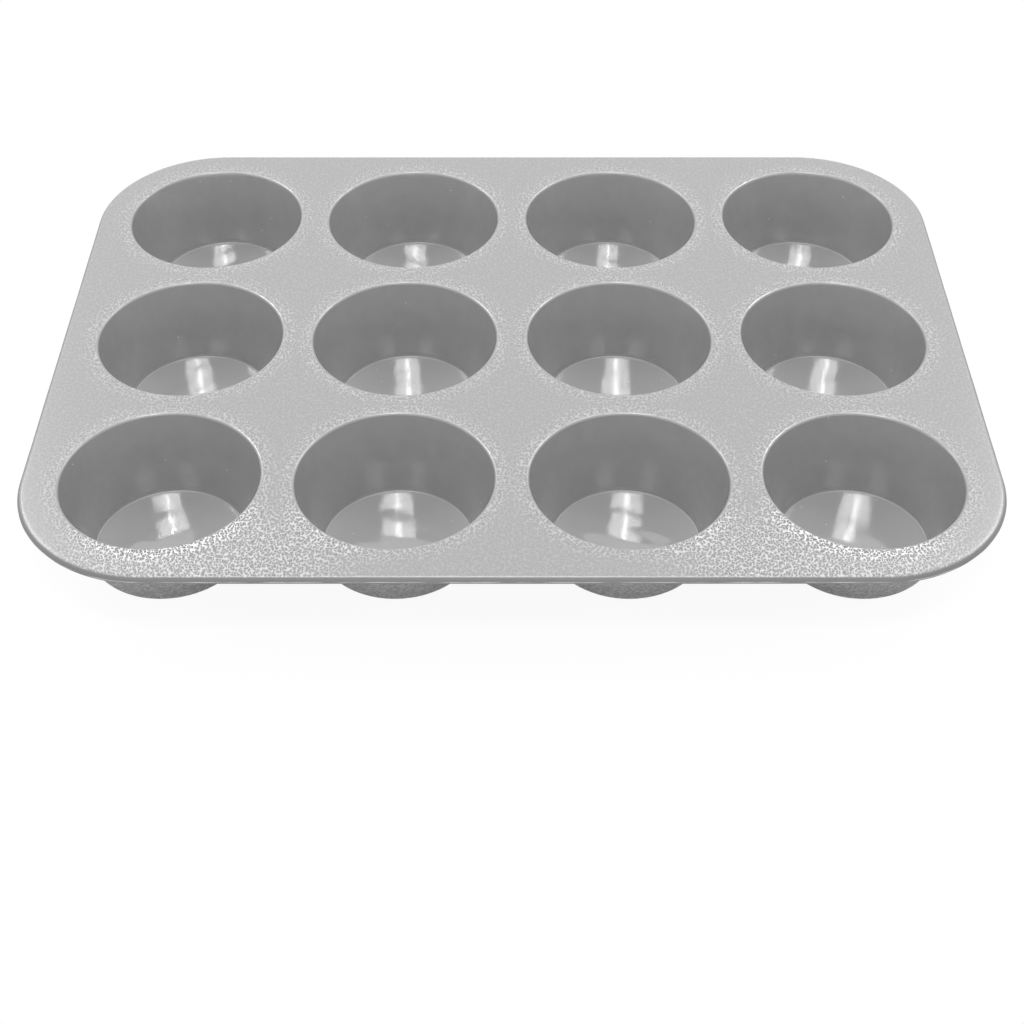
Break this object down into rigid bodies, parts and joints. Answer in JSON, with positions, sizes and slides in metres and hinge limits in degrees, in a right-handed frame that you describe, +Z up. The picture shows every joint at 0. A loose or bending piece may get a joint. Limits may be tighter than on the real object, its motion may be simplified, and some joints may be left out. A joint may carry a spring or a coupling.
{
  "type": "muffin pan",
  "caption": "Rectangular silicone muffin pan: round tapered cups hang from a thin flat deck with large corner radii and a thick rounded rim stiffened by a wire.",
  "frame": {"origin": "middle of the pan in plan, on the plane that the cups stand on", "axes": "+Z up out of the cups' mouths, X along the pan's long side, -Y towards the front row"},
  "size_m": [0.33, 0.2492, 0.031],
  "materials": {
    "silicone": "satin",
    "steel_wire": "satin"
  },
  "bodies": {
    "root": {"deck_sheet": "silicone", "rim_bead": "silicone", "rim_wire": "steel_wire", "cup_front_1": "silicone", "cup_front_2": "silicone", "cup_front_3": "silicone", "cup_front_4": "silicone", "cup_middle_1": "silicone", "cup_middle_2": "silicone", "cup_middle_3": "silicone", "cup_middle_4": "silicone", "cup_back_1": "silicone", "cup_back_2": "silicone", "cup_back_3": "silicone", "cup_back_4": "silicone"}
  },
  "joints": []
}
